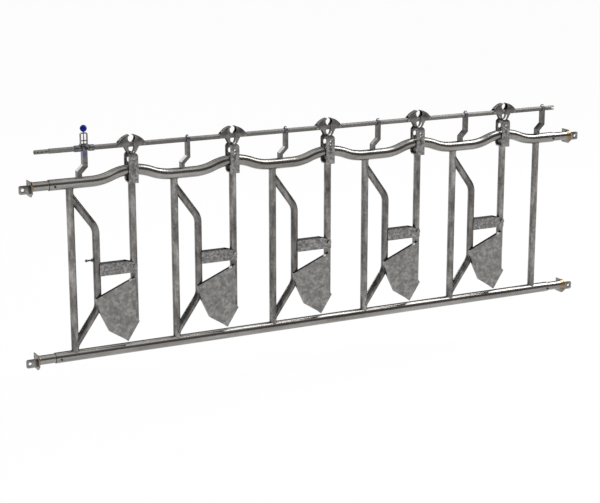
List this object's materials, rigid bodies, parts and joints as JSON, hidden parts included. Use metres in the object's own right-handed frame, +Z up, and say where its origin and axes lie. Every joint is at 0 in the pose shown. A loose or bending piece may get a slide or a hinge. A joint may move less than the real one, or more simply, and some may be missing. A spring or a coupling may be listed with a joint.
{
  "type": "self_locking_headlock_panel",
  "caption": "Galvanised self-locking feed-rail headlock panel with swing bars, half-moon latches on a turning control rail and telescopic bolted ends",
  "frame": {"origin": "on the front face of the lower left bolting lug, at the height of the bottom tube's axis", "axes": "+X along the panel to the right, +Y from the feeding side to the animals' side, +Z up"},
  "size_m": [4.188, 0.1277, 1.5445],
  "materials": {
    "galvanised_steel": "hot-dip galvanised, spangled",
    "plated_fasteners": "zinc plated",
    "blue_ball": "smooth moulded plastic"
  },
  "bodies": {
    "frame": {"top_tube": "galvanised_steel", "bottom_tube": "galvanised_steel", "post_1": "galvanised_steel", "post_2": "galvanised_steel", "post_3": "galvanised_steel", "post_4": "galvanised_steel", "post_5": "galvanised_steel", "post_6": "galvanised_steel", "bent_tube_1": "galvanised_steel", "bent_tube_2": "galvanised_steel", "bent_tube_3": "galvanised_steel", "bent_tube_4": "galvanised_steel", "bent_tube_5": "galvanised_steel", "pivot_arm_1": "galvanised_steel", "pivot_arm_2": "galvanised_steel", "pivot_arm_3": "galvanised_steel", "pivot_arm_4": "galvanised_steel", "pivot_arm_5": "galvanised_steel", "pivot_bolt_1": "plated_fasteners", "pivot_bolt_2": "plated_fasteners", "pivot_bolt_3": "plated_fasteners", "pivot_bolt_4": "plated_fasteners", "pivot_bolt_5": "plated_fasteners", "rail_hook_1": "galvanised_steel", "rail_hook_2": "galvanised_steel", "rail_hook_3": "galvanised_steel", "rail_hook_4": "galvanised_steel", "rail_hook_5": "galvanised_steel", "rail_hook_6": "galvanised_steel", "lock_stirrup": "plated_fasteners", "adjusting_stud": "plated_fasteners"},
    "swing_1": {"swing_bar_1": "galvanised_steel", "paddle_1": "galvanised_steel"},
    "half_moon_left_1": {"latch_left_1": "galvanised_steel"},
    "half_moon_right_1": {"latch_right_1": "galvanised_steel"},
    "swing_2": {"swing_bar_2": "galvanised_steel", "paddle_2": "galvanised_steel"},
    "half_moon_left_2": {"latch_left_2": "galvanised_steel"},
    "half_moon_right_2": {"latch_right_2": "galvanised_steel"},
    "swing_3": {"swing_bar_3": "galvanised_steel", "paddle_3": "galvanised_steel"},
    "half_moon_left_3": {"latch_left_3": "galvanised_steel"},
    "half_moon_right_3": {"latch_right_3": "galvanised_steel"},
    "swing_4": {"swing_bar_4": "galvanised_steel", "paddle_4": "galvanised_steel"},
    "half_moon_left_4": {"latch_left_4": "galvanised_steel"},
    "half_moon_right_4": {"latch_right_4": "galvanised_steel"},
    "swing_5": {"swing_bar_5": "galvanised_steel", "paddle_5": "galvanised_steel"},
    "half_moon_left_5": {"latch_left_5": "galvanised_steel"},
    "half_moon_right_5": {"latch_right_5": "galvanised_steel"},
    "rail": {"control_rail": "galvanised_steel", "rail_collar_left": "galvanised_steel", "rail_collar_right": "galvanised_steel"},
    "plunger": {"release_plunger": "plated_fasteners", "release_knob": "blue_ball"},
    "fitting_lower_left": {"end_fitting_lower_left": "galvanised_steel"},
    "fitting_lower_right": {"end_fitting_lower_right": "galvanised_steel"},
    "fitting_upper_left": {"end_fitting_upper_left": "galvanised_steel"},
    "fitting_upper_right": {"end_fitting_upper_right": "galvanised_steel"}
  },
  "joints": [
    {"name": "swing_turn_1", "type": "hinge", "parent": "frame", "child": "swing_1", "pos_m": [0.683, 0.005, 0.548], "axis": [0, -1, 0], "range_deg": [0, 22]},
    {"name": "swing_turn_2", "type": "hinge", "parent": "frame", "child": "swing_2", "pos_m": [1.383, 0.005, 0.548], "axis": [0, -1, 0], "range_deg": [0, 22]},
    {"name": "swing_turn_3", "type": "hinge", "parent": "frame", "child": "swing_3", "pos_m": [2.083, 0.005, 0.548], "axis": [0, -1, 0], "range_deg": [0, 22]},
    {"name": "swing_turn_4", "type": "hinge", "parent": "frame", "child": "swing_4", "pos_m": [2.783, 0.005, 0.548], "axis": [0, -1, 0], "range_deg": [0, 22]},
    {"name": "swing_turn_5", "type": "hinge", "parent": "frame", "child": "swing_5", "pos_m": [3.483, 0.005, 0.548], "axis": [0, -1, 0], "range_deg": [0, 22]},
    {"name": "rail_turn", "type": "hinge", "parent": "frame", "child": "rail", "pos_m": [2, 0.005, 1.333], "axis": [1, 0, 0], "range_deg": [0, 90]},
    {"name": "latch_left_turn_1", "type": "hinge", "parent": "rail", "child": "half_moon_left_1", "pos_m": [0.598, 0.005, 1.333], "axis": [0, -1, 0], "range_deg": [0, 44]},
    {"name": "latch_right_turn_1", "type": "hinge", "parent": "rail", "child": "half_moon_right_1", "pos_m": [0.768, 0.005, 1.333], "axis": [0, 1, 0], "range_deg": [0, 10]},
    {"name": "latch_left_turn_2", "type": "hinge", "parent": "rail", "child": "half_moon_left_2", "pos_m": [1.298, 0.005, 1.333], "axis": [0, -1, 0], "range_deg": [0, 44]},
    {"name": "latch_right_turn_2", "type": "hinge", "parent": "rail", "child": "half_moon_right_2", "pos_m": [1.468, 0.005, 1.333], "axis": [0, 1, 0], "range_deg": [0, 10]},
    {"name": "latch_left_turn_3", "type": "hinge", "parent": "rail", "child": "half_moon_left_3", "pos_m": [1.998, 0.005, 1.333], "axis": [0, -1, 0], "range_deg": [0, 44]},
    {"name": "latch_right_turn_3", "type": "hinge", "parent": "rail", "child": "half_moon_right_3", "pos_m": [2.168, 0.005, 1.333], "axis": [0, 1, 0], "range_deg": [0, 10]},
    {"name": "latch_left_turn_4", "type": "hinge", "parent": "rail", "child": "half_moon_left_4", "pos_m": [2.698, 0.005, 1.333], "axis": [0, -1, 0], "range_deg": [0, 44]},
    {"name": "latch_right_turn_4", "type": "hinge", "parent": "rail", "child": "half_moon_right_4", "pos_m": [2.868, 0.005, 1.333], "axis": [0, 1, 0], "range_deg": [0, 10]},
    {"name": "latch_left_turn_5", "type": "hinge", "parent": "rail", "child": "half_moon_left_5", "pos_m": [3.398, 0.005, 1.333], "axis": [0, -1, 0], "range_deg": [0, 44]},
    {"name": "latch_right_turn_5", "type": "hinge", "parent": "rail", "child": "half_moon_right_5", "pos_m": [3.568, 0.005, 1.333], "axis": [0, 1, 0], "range_deg": [0, 10]},
    {"name": "plunger_lift", "type": "slide", "parent": "frame", "child": "plunger", "axis": [0, 0, 1], "range_m": [0, 0.015]},
    {"name": "lower_left_slide", "type": "slide", "parent": "frame", "child": "fitting_lower_left", "axis": [-1, 0, 0], "range_m": [-0.05, 0.04]},
    {"name": "lower_right_slide", "type": "slide", "parent": "frame", "child": "fitting_lower_right", "axis": [1, 0, 0], "range_m": [-0.05, 0.04]},
    {"name": "upper_left_slide", "type": "slide", "parent": "frame", "child": "fitting_upper_left", "axis": [-1, 0, 0], "range_m": [-0.05, 0.04]},
    {"name": "upper_right_slide", "type": "slide", "parent": "frame", "child": "fitting_upper_right", "axis": [1, 0, 0], "range_m": [-0.05, 0.04]}
  ],
  "couplings": [
    {"joint": "latch_left_turn_1", "follows": "swing_turn_1", "ratio": 2},
    {"joint": "latch_left_turn_2", "follows": "swing_turn_2", "ratio": 2},
    {"joint": "latch_left_turn_3", "follows": "swing_turn_3", "ratio": 2},
    {"joint": "latch_left_turn_4", "follows": "swing_turn_4", "ratio": 2},
    {"joint": "latch_left_turn_5", "follows": "swing_turn_5", "ratio": 2}
  ]
}
